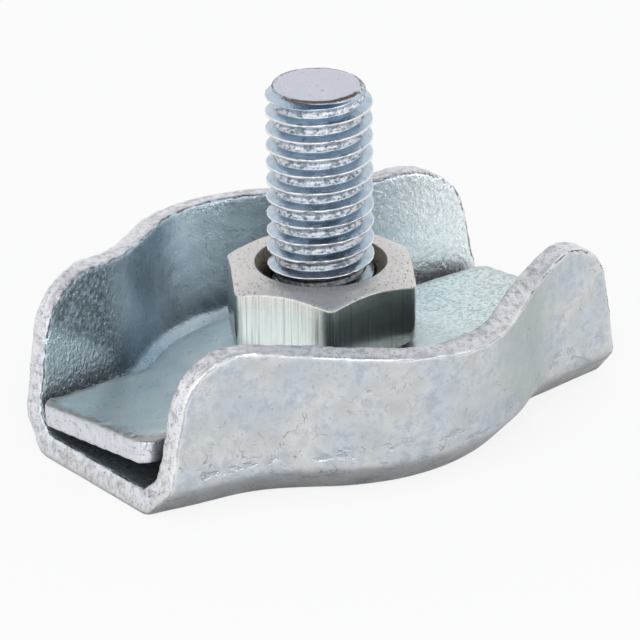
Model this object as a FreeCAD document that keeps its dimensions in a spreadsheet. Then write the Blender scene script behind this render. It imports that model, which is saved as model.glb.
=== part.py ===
import FreeCAD, Part
import math
import os
import Sketcher

# Simplex wire rope clip for a rope of about 5 mm, sizes in millimetres and degrees.
# X runs along the clip and the rope, Y across it, Z up along the bolt.
# The origin is on the bolt's axis, at the underside of the body.

sizes = (
    # Pressed body: one sheet folded up into a channel with four rounded ears
    ("sheetWall", 1.3, "thickness of the body's sheet"),
    ("bodyHalfLength", 15.6, "half length of the body at its underside"),
    ("endLean", 9.8, "lean of the cut ends, inward as they rise"),
    ("footRun", 1.8, "width of the sloping band between floor and wall"),
    ("footRise", 1.9, "height of that band, outside"),
    ("flankAngle", 35.4, "steepest turn of the wall's plan away from X"),
    ("endAngle", 8.5, "how much the walls still close towards the ends"),
    ("footEndHalf", 6.8, "half width at the ends, at the top of the band"),
    ("footBulgeHalf", 11.7, "half width over the middle bulge, there"),
    ("footBulgeRadius", 11.8, "plan radius of the bulge, there"),
    ("footValleyRadius", 6.5, "plan radius of the hollow beside it, there"),
    ("rimLevel", 10.0, "height at which the upper plan is given"),
    ("rimEndHalf", 7.05, "half width at the ends, at that height"),
    ("rimBulgeHalf", 13.35, "half width over the bulge, at that height"),
    ("rimBulgeRadius", 6.4, "plan radius of the bulge, at that height"),
    ("rimValleyRadius", 16.0, "plan radius of the hollow, at that height"),
    ("earHeight", 9.4, "top of the four ears"),
    ("earRadius", 3.6, "rounding of each ear's outer corner"),
    ("dipRadius", 72.0, "long radius of the rim's dip between two ears"),
    ("outerBend", 0.6, "radius of the sheet's bends, outside"),
    ("innerBend", 0.5, "radius of the sheet's bends, inside"),
    # Pressed-up pocket in the floor, which keeps the bolt's head from turning
    ("pocketWall", 1.15, "sheet over and round the pocket"),
    ("pocketRound", 0.6, "rounding of the pocket's top edge"),
    ("pocketCorner", 1.2, "rounding of the pocket's upright corners"),
    ("headPlay", 0.1, "clearance of the head in its pocket, each side"),
    ("headInset", 0.1, "how far the head stays above the underside"),
    ("boltHolePlay", 0.15, "clearance of the shank in the floor, each side"),
    # Bolt
    ("headFlats", 8.4, "width across the flats of the low head"),
    ("headHeight", 1.1, "height of the head"),
    ("threadRadius", 2.95, "outer radius of the thread"),
    ("boltTop", 19.55, "height of the bolt's end above the underside"),
    ("endChamfer", 0.5, "chamfer of the bolt's end"),
    ("threadPitch", 1.0, "rise of the thread in one turn"),
    ("threadFlank", 30.0, "slope of each side of the thread's groove"),
    ("threadCrest", 0.13, "width of the crest between two turns of the groove"),
    ("threadRoot", 0.17, "width of the groove's bottom"),
    ("threadStart", 4.05, "where the groove starts, on the +X side above the head's underside"),
    # Pressure plate, bowed up over the pocket
    ("plateWall", 1.35, "thickness of the plate"),
    ("plateHalfLength", 15.35, "half length of the plate"),
    ("plateEndGap", 0.49, "plate's end to the inside of the wall, each side"),
    ("plateBulgeHalf", 7.35, "half width of the plate in the middle"),
    ("plateBulgeRadius", 13.0, "plan radius of the plate's middle"),
    ("plateValleyRadius", 3.0, "plan radius of the hollow beside it"),
    ("plateFlankAngle", 26.0, "steepest turn of the plate's side"),
    ("plateCorner", 0.9, "rounding of the plate's four corners"),
    ("plateRise", 0.55, "how much higher the plate's middle lies"),
    ("plateBendOuter", 8.3, "where the plate starts to rise, from the middle"),
    ("plateBendInner", 5.3, "where it is flat again"),
    ("plateHolePlay", 0.45, "clearance of the plate round the thread, each side"),
    ("plateTilt", 6.3, "tilt of the loose plate, its -Y side up"),
    ("plateAlong", -0.2, "where the loose plate's middle lies, along X"),
    ("plateAcross", 0.08, "where it lies across, along Y"),
    ("seatGap", 0.05, "gap between pieces that lie on each other"),
    # Hexagon nut
    ("nutFlats", 10.0, "width across the nut's flats"),
    ("nutHeight", 4.3, "height of the nut"),
    ("nutFaceRadius", 4.6, "radius of the flat ring on both faces"),
    ("nutChamferAngle", 30.0, "slope of the chamfer outside that ring"),
    ("nutCorner", 0.4, "rounding of the upright corners"),
    ("nutPlay", 0.05, "running clearance of the nut on the thread"),
    ("nutMouthRadius", 3.65, "radius of the bore's mouth on both faces"),
    ("nutTurn", -1.3, "turn of the nut about the bolt"),
)

doc = FreeCAD.newDocument("WireRopeClip")
sheet = doc.addObject("Spreadsheet::Sheet", "Sizes")
for row, (name, number, meaning) in enumerate(sizes, start=1):
    sheet.set("A%d" % row, meaning)
    sheet.set("B%d" % row, str(number))
    sheet.setAlias("B%d" % row, name)
doc.recompute()

margin = 2.0    # how far cutting shapes reach past what they cut
filletRoom = 0.9    # share of a straight stretch that the round beside it may use up
touching = 1e-4    # lengths that differ by less are taken as equal
shavings = 1e-3    # a cut of less volume counts as no cut

# Sizes that follow from the ones above, written as the expressions that the features use
slope = "atan(Sizes.footRise / Sizes.footRun)"
floorInset = "Sizes.sheetWall * tan(%s / 2)" % slope
creaseRise = "Sizes.sheetWall * tan((90 deg - %s) / 2)" % slope
wallInset = "Sizes.sheetWall / cos(Sizes.endAngle)"
pocketDepth = "(Sizes.headHeight + Sizes.headInset)"
pocketTop = "(%s + Sizes.pocketWall)" % pocketDepth
pocketFlats = "(Sizes.headFlats + 2 * Sizes.headPlay)"
pocketFlatHalf = "(%s / 2 + Sizes.pocketWall - Sizes.pocketRound)" % pocketFlats
plateLift = "(%s + %s * tan(Sizes.plateTilt) + Sizes.seatGap)" % (pocketTop, pocketFlatHalf)
nutSeat = (
    "(%s + Sizes.plateWall / cos(Sizes.plateTilt)"
    " + Sizes.nutFaceRadius * tan(Sizes.plateTilt) + Sizes.seatGap)" % plateLift
)
plateEndHalf = "(Sizes.footEndHalf - %s - Sizes.plateEndGap)" % wallInset
bodyReach = "(Sizes.bodyHalfLength + %g)" % margin
waveAngles = ("Sizes.flankAngle", "Sizes.endAngle")


def size(expression):
    """The number that an expression on the sheet gives now."""
    result = sheet.evalExpression(expression)
    return float(getattr(result, "Value", result))


def newBody(label):
    body = doc.addObject("PartDesign::Body", label)
    body.Label = label
    return body


def originPart(body, role):
    return [item for item in body.Origin.OriginFeatures if item.Role == role][0]


def newSketch(body, role, name, height=None):
    """A sketch on one of the body's own planes, lifted by an expression."""
    sketch = body.newObject("Sketcher::SketchObject", name)
    sketch.AttachmentSupport = [(originPart(body, role), "")]
    sketch.MapMode = "FlatFace"
    if height is not None:
        sketch.setExpression("AttachmentOffset.Base.z", height)
    return sketch


def bind(sketch, kind, where, expression):
    """Adds one measured constraint and ties it to its expression."""
    number = size(expression)
    if kind == "Angle":
        number = math.radians(number)
    index = sketch.addConstraint(Sketcher.Constraint(kind, *where, number))
    sketch.setExpression("Constraints[%d]" % index, expression)


def tie(sketch, kind, *where):
    sketch.addConstraint(Sketcher.Constraint(kind, *where))


def line(sketch, start, end):
    return sketch.addGeometry(Part.LineSegment(FreeCAD.Vector(*start, 0), FreeCAD.Vector(*end, 0)))


def arc(sketch, centre, radius, start, end):
    """An arc, counter-clockwise from one angle to another, both in degrees."""
    circle = Part.Circle(FreeCAD.Vector(*centre, 0), FreeCAD.Vector(0, 0, 1), radius)
    return sketch.addGeometry(Part.ArcOfCircle(circle, math.radians(start), math.radians(end)))


def circle(sketch, radius):
    centre = FreeCAD.Vector(0, 0, 0)
    index = sketch.addGeometry(Part.Circle(centre, FreeCAD.Vector(0, 0, 1), size(radius)))
    tie(sketch, "Coincident", index, 3, -1, 1)
    bind(sketch, "Radius", (index,), radius)


def polygon(sketch, points):
    """A closed run of lines, whose corners are then placed by expressions."""
    edges = []
    for here, there in zip(points, points[1:] + points[:1]):
        edges.append(line(sketch, [size(e) for e in here], [size(e) for e in there]))
    for edge, following in zip(edges, edges[1:] + edges[:1]):
        tie(sketch, "Coincident", edge, 2, following, 1)
    for edge, (across, along) in zip(edges, points):
        for kind, axis, expression in (("DistanceX", 2, across), ("DistanceY", 1, along)):
            if near(size(expression), 0):
                tie(sketch, "PointOnObject", edge, 1, -axis)
            else:
                bind(sketch, kind, (-1, 1, edge, 1), expression)
    return edges


def hexagon(sketch, flats):
    """A hexagon with a pair of flats square to Y and its corners on X."""
    half = "%s / 2" % flats
    corner = "%s / 2 / cos(30)" % flats
    shoulder = "%s / 2 * tan(30)" % flats
    polygon(sketch, [
        (corner, "0"), (shoulder, half), ("-(%s)" % shoulder, half),
        ("-(%s)" % corner, "0"), ("-(%s)" % shoulder, "-(%s)" % half), (shoulder, "-(%s)" % half),
    ])


def waistedOutline(sketch, length, endHalf, bulgeHalf, bulgeRadius, valleyRadius, flank, end):
    """The plan of a piece that is widest in the middle: on each side a straight end, a hollow
    arc, a straight flank and the bulge's arc, all tangent, and the same on all four quarters."""
    # The hollow rounds the corner between end and flank, as far as these two leave it room
    corner = "((%s - %s + %s / cos(%s) - %s - %s * tan(%s)) / (tan(%s) - tan(%s)))" % (
        bulgeHalf, bulgeRadius, bulgeRadius, flank, endHalf, length, end, flank, end)
    halfTurn = "tan((%s - %s) / 2)" % (flank, end)
    atEnd = "%g * (%s - %s) / cos(%s) / %s" % (filletRoom, length, corner, end, halfTurn)
    atFlank = "%g * (%s - %s * sin(%s)) / cos(%s) / %s" % (
        filletRoom, corner, bulgeRadius, flank, flank, halfTurn)
    hollowRadius = "min(%s; %s; %s)" % (valleyRadius, atEnd, atFlank)
    a, w, b, r, v = [size(e) for e in (length, endHalf, bulgeHalf, bulgeRadius, hollowRadius)]
    f, e = [math.radians(size(x)) for x in (flank, end)]
    bulgeX = r * math.sin(f)
    bulgeY = b - r * (1 - math.cos(f))
    meetX = (bulgeY + bulgeX * math.tan(f) - w - a * math.tan(e)) / (math.tan(f) - math.tan(e))
    meetY = w + (a - meetX) * math.tan(e)
    cut = v * math.tan((f - e) / 2)
    flankEnd = (meetX - cut * math.cos(f), meetY + cut * math.sin(f))
    endStart = (meetX + cut * math.cos(e), meetY - cut * math.sin(e))
    centre = (endStart[0] + v * math.sin(e), endStart[1] + v * math.cos(e))
    quarters = {}
    for sx in (1, -1):
        for sy in (1, -1):
            place = lambda p: (sx * p[0], sy * p[1])
            straight = line(sketch, place((a, w)), place(endStart))
            side = line(sketch, place(flankEnd), place((bulgeX, bulgeY)))
            angles = [math.degrees(math.atan2(sy * (p[1] - centre[1]), sx * (p[0] - centre[0])))
                      for p in (endStart, flankEnd)]
            first, last = (2, 1) if sx * sy > 0 else (1, 2)
            if sx * sy > 0:
                angles.reverse()
            hollow = arc(sketch, place(centre), v, *angles)
            quarters[sx, sy] = (straight, hollow, side, first, last)
    bulges = {}
    for sy, turn in ((1, 90), (-1, 270)):
        bulges[sy] = arc(sketch, (0, sy * (b - r)), r, turn - size(flank), turn + size(flank))
    ends = {sx: line(sketch, (sx * a, -sx * w), (sx * a, sx * w)) for sx in (1, -1)}
    # The first quarter carries the sizes
    straight, hollow, side, first, last = quarters[1, 1]
    bind(sketch, "DistanceX", (-1, 1, straight, 1), length)
    bind(sketch, "DistanceY", (-1, 1, straight, 1), endHalf)
    if near(size(end), 0):
        tie(sketch, "Horizontal", straight)
    else:
        bind(sketch, "Angle", (straight,), "180 - %s" % end)
    bind(sketch, "Angle", (side,), "180 - %s" % flank)
    tie(sketch, "Tangent", straight, 2, hollow, first)
    tie(sketch, "Tangent", hollow, last, side, 1)
    tie(sketch, "Tangent", side, 2, bulges[1], 1)
    bind(sketch, "Radius", (hollow,), hollowRadius)
    bind(sketch, "Radius", (bulges[1],), bulgeRadius)
    tie(sketch, "Symmetric", bulges[1], 1, bulges[1], 2, -2)
    rise = "%s - %s" % (bulgeHalf, bulgeRadius)
    bind(sketch, "DistanceY", (-1, 1, bulges[1], 3), rise)
    # The other quarters mirror it
    for key, source, axis in (((-1, 1), (1, 1), -2), ((1, -1), (1, 1), -1), ((-1, -1), (-1, 1), -1)):
        new, old = quarters[key], quarters[source]
        for edge in (0, 2):
            for point in (1, 2):
                if (key, edge, point) == ((-1, 1), 2, 2):
                    tie(sketch, "Coincident", new[2], 2, bulges[1], 2)
                else:
                    tie(sketch, "Symmetric", old[edge], point, new[edge], point, axis)
        tie(sketch, "Coincident", new[0], 2, new[1], new[3])
        tie(sketch, "Coincident", new[1], new[4], new[2], 1)
        tie(sketch, "Equal", new[1], hollow)
    tie(sketch, "Coincident", quarters[-1, -1][2], 2, bulges[-1], 1)
    tie(sketch, "Coincident", quarters[1, -1][2], 2, bulges[-1], 2)
    tie(sketch, "Equal", bulges[-1], bulges[1])
    for sx in (1, -1):
        tie(sketch, "Coincident", ends[sx], 1, quarters[sx, -sx][0], 1)
        tie(sketch, "Coincident", ends[sx], 2, quarters[sx, sx][0], 1)


def rectangle(sketch, halfWidth, low, high):
    polygon(sketch, [("-(%s)" % halfWidth, low), (halfWidth, low),
                     (halfWidth, high), ("-(%s)" % halfWidth, high)])


def sweepSide(body, kind, name, sketch, through=False, length=None, both=False):
    """A Pad or Pocket of a sketch, to a length or right through."""
    feature = body.newObject("PartDesign::" + kind, name)
    feature.Profile = (sketch, [""])
    if both:
        feature.SideType = "Symmetric"
    if through:
        feature.Type = "ThroughAll"
    else:
        feature.setExpression("Length", length)
    sketch.Visibility = False
    return feature


def edgesOf(feature, keep):
    """Names of the feature's edges whose two ends and middle all pass a test."""
    names = []
    for number, edge in enumerate(feature.Shape.Edges, start=1):
        first, last = edge.ParameterRange
        points = [edge.valueAt(t) for t in (first, (first + last) / 2, last)]
        if all(keep(p) for p in points):
            names.append("Edge%d" % number)
    return names


def dressUp(body, kind, name, base, edges, **values):
    """A Fillet or Chamfer on some edges of the feature before it."""
    feature = body.newObject("PartDesign::" + kind, name)
    feature.Base = (base, edges)
    for prop, expression in values.items():
        feature.setExpression(prop, expression)
    return feature


def near(a, b):
    return abs(a - b) < touching


def removes(feature, before):
    """Stops the script if a cut has cut nothing."""
    doc.recompute()
    if feature.Shape.Volume > before - shavings:
        raise RuntimeError("%s removes nothing" % feature.Name)


def makeBody():
    """The pressed channel: its waved sheet with ears, the pocket, and a round on every bend."""
    body = newBody("clip_body")
    channelForm(body)
    pressed = headPocket(body)
    body.Tip = roundBends(body, pressed)
    return body


def channelForm(body):
    """Floor, sloping foot bands and waved walls, all of one thickness, cut to their side view."""
    # Outer form, from the floor's outline over the top of the foot band to the rim
    inset = "Sizes.footRun"
    floor = newSketch(body, "XY_Plane", "OuterFloor")
    waistedOutline(floor, "Sizes.bodyHalfLength", "(Sizes.footEndHalf - %s / cos(Sizes.endAngle))" % inset,
                   "(Sizes.footBulgeHalf - %s)" % inset, "(Sizes.footBulgeRadius - %s)" % inset,
                   "(Sizes.footValleyRadius + %s)" % inset, *waveAngles)
    foot = newSketch(body, "XY_Plane", "OuterFoot", "Sizes.footRise")
    waistedOutline(foot, "Sizes.bodyHalfLength", "Sizes.footEndHalf", "Sizes.footBulgeHalf",
                   "Sizes.footBulgeRadius", "Sizes.footValleyRadius", *waveAngles)
    rim = newSketch(body, "XY_Plane", "OuterRim", "Sizes.rimLevel")
    waistedOutline(rim, "Sizes.bodyHalfLength", "Sizes.rimEndHalf", "Sizes.rimBulgeHalf",
                   "Sizes.rimBulgeRadius", "Sizes.rimValleyRadius", *waveAngles)
    outer = body.newObject("PartDesign::AdditiveLoft", "OuterForm")
    outer.Profile = (floor, [""])
    outer.Sections = [foot, rim]
    outer.Ruled = True
    doc.recompute()
    # Inner form, one sheet inside the outer one and open at the top and both ends
    floorDepth = "%s + %s" % (inset, floorInset)
    innerFloor = innerOutline(body, "InnerFloor", "Sizes.sheetWall", floorDepth, "foot")
    innerFoot = innerOutline(body, "InnerFoot", "Sizes.footRise + %s" % creaseRise, "Sizes.sheetWall", "foot")
    innerRim = innerOutline(body, "InnerRim", "Sizes.rimLevel", "Sizes.sheetWall", "rim")
    before = outer.Shape.Volume
    inner = body.newObject("PartDesign::SubtractiveLoft", "InnerForm")
    inner.Profile = (innerFloor, [""])
    inner.Sections = [innerFoot, innerRim]
    inner.Ruled = True
    removes(inner, before)
    # Everything outside the side view of ears, dips and leaning ends is trimmed off
    trim = newSketch(body, "XZ_Plane", "SideView")
    earOutline(trim)
    rectangle(trim, bodyReach, "-%g * 2" % margin, "Sizes.rimLevel + %g" % margin)
    before = inner.Shape.Volume
    ears = sweepSide(body, "Pocket", "Ears", trim, through=True, both=True)
    removes(ears, before)


def innerOutline(body, name, height, depth, prefix):
    """The outer plan of the foot or the rim, set in by a depth and run out past both ends."""
    sketch = newSketch(body, "XY_Plane", name, height)
    closing = "%g * tan(Sizes.endAngle)" % margin
    waistedOutline(sketch, bodyReach,
                   "(Sizes.%sEndHalf - (%s) / cos(Sizes.endAngle) - %s)" % (prefix, depth, closing),
                   "(Sizes.%sBulgeHalf - (%s))" % (prefix, depth),
                   "(Sizes.%sBulgeRadius - (%s))" % (prefix, depth),
                   "(Sizes.%sValleyRadius + (%s))" % (prefix, depth), *waveAngles)
    return sketch


def headPocket(body):
    """The hexagon pocket for the bolt's head, pressed up from below and drilled for the shank."""
    raised = newSketch(body, "XY_Plane", "PocketOutside")
    across = "(%s + 2 * Sizes.pocketWall)" % pocketFlats
    hexagon(raised, across)
    boss = sweepSide(body, "Pad", "PocketBoss", raised, length=pocketTop)
    doc.recompute()
    top, reach, floorTop = size(pocketTop), size(across), size("Sizes.sheetWall")
    upright = edgesOf(boss, lambda p: math.hypot(p.x, p.y) < reach and p.z > floorTop - touching)
    upright = [n for n in upright if isUpright(boss.Shape.getElement(n))]
    corners = dressUp(body, "Fillet", "PocketCorners", boss, upright, Radius="Sizes.pocketCorner")
    doc.recompute()
    crown = edgesOf(corners, lambda p: near(p.z, top))
    crowned = dressUp(body, "Fillet", "PocketCrown", corners, crown, Radius="Sizes.pocketRound")
    doc.recompute()
    hollow = newSketch(body, "XY_Plane", "PocketInside")
    hexagon(hollow, pocketFlats)
    before = crowned.Shape.Volume
    pocket = sweepSide(body, "Pocket", "HeadPocket", hollow, length=pocketDepth)
    pocket.Reversed = True
    removes(pocket, before)
    shankHole = newSketch(body, "XY_Plane", "ShankHole")
    circle(shankHole, "Sizes.threadRadius + Sizes.boltHolePlay")
    before = pocket.Shape.Volume
    hole = sweepSide(body, "Pocket", "BoltHole", shankHole, through=True, both=True)
    removes(hole, before)
    return hole


def roundBends(body, last):
    """Rounds the sheet's bends, outside and inside, and then the foot of the pocket."""
    pocketReach = size("(%s / 2 + Sizes.pocketWall) / cos(30)" % pocketFlats)
    floorTop = size("Sizes.sheetWall")
    for name, level, radius in (
            ("OuterWallBend", size("Sizes.footRise"), "Sizes.outerBend"),
            ("OuterFloorBend", 0, "Sizes.outerBend"),
            ("InnerWallBend", size("Sizes.footRise + %s" % creaseRise), "Sizes.innerBend"),
            ("InnerFloorBend", floorTop, "Sizes.innerBend")):
        bends = edgesOf(last, lambda p: near(p.z, level) and abs(p.y) > margin
                        and math.hypot(p.x, p.y) > pocketReach)
        last = dressUp(body, "Fillet", name, last, bends, Radius=radius)
        doc.recompute()
    base = edgesOf(last, lambda p: near(p.z, floorTop) and math.hypot(p.x, p.y) < pocketReach + touching)
    upTo = "%g * (%s - Sizes.sheetWall - Sizes.pocketRound)" % (filletRoom, pocketTop)
    return dressUp(body, "Fillet", "PocketFoot", last, base, Radius="min(Sizes.innerBend; %s)" % upTo)


def isUpright(edge):
    first, last = edge.Vertexes[0].Point, edge.Vertexes[-1].Point
    return near(first.x, last.x) and near(first.y, last.y) and not near(first.z, last.z)


def earOutline(sketch):
    """The side view: leaning ends, rounded ears and one long arc dipping between them."""
    lean = math.radians(size("Sizes.endLean"))
    a, earTop = size("Sizes.bodyHalfLength"), size("Sizes.earHeight")
    r, big = size("Sizes.earRadius"), size("Sizes.dipRadius")
    footX = "(Sizes.bodyHalfLength + %g * tan(Sizes.endLean))" % margin
    centre = [0, earTop - r]
    centre[0] = (a * math.cos(lean) - r - centre[1] * math.sin(lean)) / math.cos(lean)
    dipY = centre[1] + math.sqrt((r + big) ** 2 - centre[0] ** 2)
    turn = math.degrees(math.atan2(dipY - centre[1], -centre[0]))
    leanTop = (centre[0] + r * math.cos(lean), centre[1] + r * math.sin(lean))
    base = line(sketch, (-size(footX), -margin), (size(footX), -margin))
    right = line(sketch, (size(footX), -margin), leanTop)
    left = line(sketch, (-leanTop[0], leanTop[1]), (-size(footX), -margin))
    earRight = arc(sketch, centre, r, math.degrees(lean), turn)
    earLeft = arc(sketch, (-centre[0], centre[1]), r, 180 - turn, 180 - math.degrees(lean))
    dip = arc(sketch, (0, dipY), big, 360 - turn, turn + 180)
    bind(sketch, "DistanceY", (base, 2, -1, 1), "%g" % margin)
    bind(sketch, "DistanceX", (-1, 1, base, 2), footX)
    tie(sketch, "Symmetric", base, 1, base, 2, -2)
    tie(sketch, "Coincident", base, 2, right, 1)
    bind(sketch, "Angle", (right,), "90 + Sizes.endLean")
    tie(sketch, "Tangent", right, 2, earRight, 1)
    bind(sketch, "Radius", (earRight,), "Sizes.earRadius")
    bind(sketch, "DistanceY", (-1, 1, earRight, 3), "Sizes.earHeight - Sizes.earRadius")
    tie(sketch, "Tangent", earRight, 2, dip, 2)
    bind(sketch, "Radius", (dip,), "Sizes.dipRadius")
    tie(sketch, "Symmetric", dip, 1, dip, 2, -2)
    tie(sketch, "Coincident", left, 2, base, 1)
    tie(sketch, "Symmetric", left, 1, right, 2, -2)
    tie(sketch, "Coincident", earLeft, 2, left, 1)
    tie(sketch, "Coincident", earLeft, 1, dip, 1)
    tie(sketch, "Equal", earLeft, earRight)


def makePlate():
    """The pressure plate: a strip bowed up in the middle, cut to its waisted plan and drilled."""
    body = newBody("pressure_plate")
    spine = newSketch(body, "XZ_Plane", "PlateBow")
    bowLine(spine)
    section = newSketch(body, "YZ_Plane", "PlateSection", "-Sizes.plateHalfLength")
    rectangle(section, "Sizes.plateBulgeHalf + %g" % margin,
              "-Sizes.plateRise", "Sizes.plateWall - Sizes.plateRise")
    strip = body.newObject("PartDesign::AdditivePipe", "PlateStrip")
    strip.Profile = (section, [""])
    strip.Spine = (spine, [])
    doc.recompute()
    plan = newSketch(body, "XY_Plane", "PlatePlan")
    waistedOutline(plan, "Sizes.plateHalfLength", plateEndHalf, "Sizes.plateBulgeHalf",
                   "Sizes.plateBulgeRadius", "Sizes.plateValleyRadius", "Sizes.plateFlankAngle", "0")
    far = "Sizes.plateBulgeHalf + 2 * %g" % margin
    polygon(plan, [("-(Sizes.plateHalfLength + %g)" % margin, "-(%s)" % far),
                   ("Sizes.plateHalfLength + %g" % margin, "-(%s)" % far),
                   ("Sizes.plateHalfLength + %g" % margin, far),
                   ("-(Sizes.plateHalfLength + %g)" % margin, far)])
    before = strip.Shape.Volume
    blank = sweepSide(body, "Pocket", "PlateBlank", plan, through=True, both=True)
    removes(blank, before)
    limit = size("Sizes.plateHalfLength")
    upright = edgesOf(blank, lambda p: near(abs(p.x), limit))
    upright = [n for n in upright if isUpright(blank.Shape.getElement(n))]
    rounded = dressUp(body, "Fillet", "PlateCorners", blank, upright, Radius="Sizes.plateCorner")
    doc.recompute()
    drill = newSketch(body, "XY_Plane", "PlateHole")
    circle(drill, "Sizes.threadRadius + Sizes.plateHolePlay")
    before = rounded.Shape.Volume
    hole = sweepSide(body, "Pocket", "PlateBore", drill, through=True, both=True)
    removes(hole, before)
    body.Tip = hole
    body.Placement = FreeCAD.Placement(
        FreeCAD.Vector(0, 0, 0), FreeCAD.Rotation(FreeCAD.Vector(-1, 0, 0), size("Sizes.plateTilt")))
    body.setExpression("Placement.Rotation.Angle", "Sizes.plateTilt")
    body.setExpression("Placement.Base.x", "Sizes.plateAlong")
    body.setExpression("Placement.Base.y", "Sizes.plateAcross")
    body.setExpression("Placement.Base.z", plateLift)
    return body


def bowLine(sketch):
    """Side view of the plate's underside: level ends, a double bend and a level middle."""
    length, rise = size("Sizes.plateHalfLength"), size("Sizes.plateRise")
    outer, inner = size("Sizes.plateBendOuter"), size("Sizes.plateBendInner")
    half = 2 * math.degrees(math.atan(rise / (outer - inner)))
    r = (outer - inner) / 2 / math.sin(math.radians(half))
    centreLine = line(sketch, (-inner, 0), (inner, 0))
    parts = {}
    for sx in (1, -1):
        flat = line(sketch, (sx * length, -rise), (sx * outer, -rise))
        if sx > 0:
            low = arc(sketch, (outer, r - rise), r, 270 - half, 270)
            high = arc(sketch, (inner, -r), r, 90 - half, 90)
            parts[sx] = (flat, low, high, 1, 2)
        else:
            low = arc(sketch, (-outer, r - rise), r, 270, 270 + half)
            high = arc(sketch, (-inner, -r), r, 90, 90 + half)
            parts[sx] = (flat, low, high, 2, 1)
    for sx, (flat, low, high, away, close) in parts.items():
        # "close" is the end of each arc that is tangent to its level line
        tie(sketch, "Horizontal", flat)
        tie(sketch, "Tangent", flat, 2, low, close)
        tie(sketch, "Tangent", low, away, high, away)
        tie(sketch, "Tangent", high, close, centreLine, 2 if sx > 0 else 1)
        tie(sketch, "Equal", low, high)
    tie(sketch, "Horizontal", centreLine)
    tie(sketch, "PointOnObject", centreLine, 1, -1)
    bind(sketch, "DistanceX", (-1, 1, centreLine, 2), "Sizes.plateBendInner")
    bind(sketch, "DistanceX", (centreLine, 1, -1, 1), "Sizes.plateBendInner")
    flat = parts[1][0]
    bind(sketch, "DistanceX", (-1, 1, flat, 1), "Sizes.plateHalfLength")
    bind(sketch, "DistanceX", (-1, 1, flat, 2), "Sizes.plateBendOuter")
    bind(sketch, "DistanceY", (flat, 1, -1, 1), "Sizes.plateRise")
    tie(sketch, "Symmetric", flat, 1, parts[-1][0], 1, -2)
    bind(sketch, "DistanceX", (parts[-1][0], 2, -1, 1), "Sizes.plateBendOuter")


def makeNut():
    """The hexagon nut, chamfered on both faces, with both mouths of its bore opened out."""
    body = newBody("hex_nut")
    plan = newSketch(body, "XY_Plane", "NutPlan")
    hexagon(plan, "Sizes.nutFlats")
    block = sweepSide(body, "Pad", "NutBlock", plan, length="Sizes.nutHeight")
    doc.recompute()
    upright = [n for n in edgesOf(block, lambda p: True) if isUpright(block.Shape.getElement(n))]
    eased = dressUp(body, "Fillet", "NutCorners", block, upright, Radius="Sizes.nutCorner")
    doc.recompute()
    corner = "(Sizes.nutFlats / 2 / cos(30))"
    drop = "((%s - Sizes.nutFaceRadius) * tan(Sizes.nutChamferAngle))" % corner
    chamfer = newSketch(body, "XZ_Plane", "NutChamfer")
    polygon(chamfer, [("Sizes.nutFaceRadius", "Sizes.nutHeight"),
                      (corner, "Sizes.nutHeight - %s" % drop), (corner, "Sizes.nutHeight")])
    polygon(chamfer, [("Sizes.nutFaceRadius", "0"), (corner, "0"), (corner, drop)])
    before = eased.Shape.Volume
    turned = body.newObject("PartDesign::Groove", "NutTurned")
    turned.Profile = (chamfer, [""])
    turned.ReferenceAxis = (chamfer, ["V_Axis"])
    turned.Angle = 360
    removes(turned, before)
    drill = newSketch(body, "XY_Plane", "NutBore")
    circle(drill, "Sizes.threadRadius + Sizes.nutPlay")
    before = turned.Shape.Volume
    bore = sweepSide(body, "Pocket", "NutHole", drill, through=True, both=True)
    removes(bore, before)
    radius = size("Sizes.threadRadius + Sizes.nutPlay")
    rims = edgesOf(bore, lambda p: near(math.hypot(p.x, p.y), radius))
    rims = [n for n in rims if not isUpright(bore.Shape.getElement(n))]
    mouths = dressUp(body, "Chamfer", "NutMouths", bore, rims,
                     Size="Sizes.nutMouthRadius - Sizes.threadRadius - Sizes.nutPlay")
    doc.recompute()
    body.Tip = mouths
    body.Placement = FreeCAD.Placement(
        FreeCAD.Vector(0, 0, 0), FreeCAD.Rotation(FreeCAD.Vector(0, 0, 1), size("Sizes.nutTurn")))
    body.setExpression("Placement.Rotation.Angle", "Sizes.nutTurn")
    body.setExpression("Placement.Base.z", nutSeat)
    return body


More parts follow.
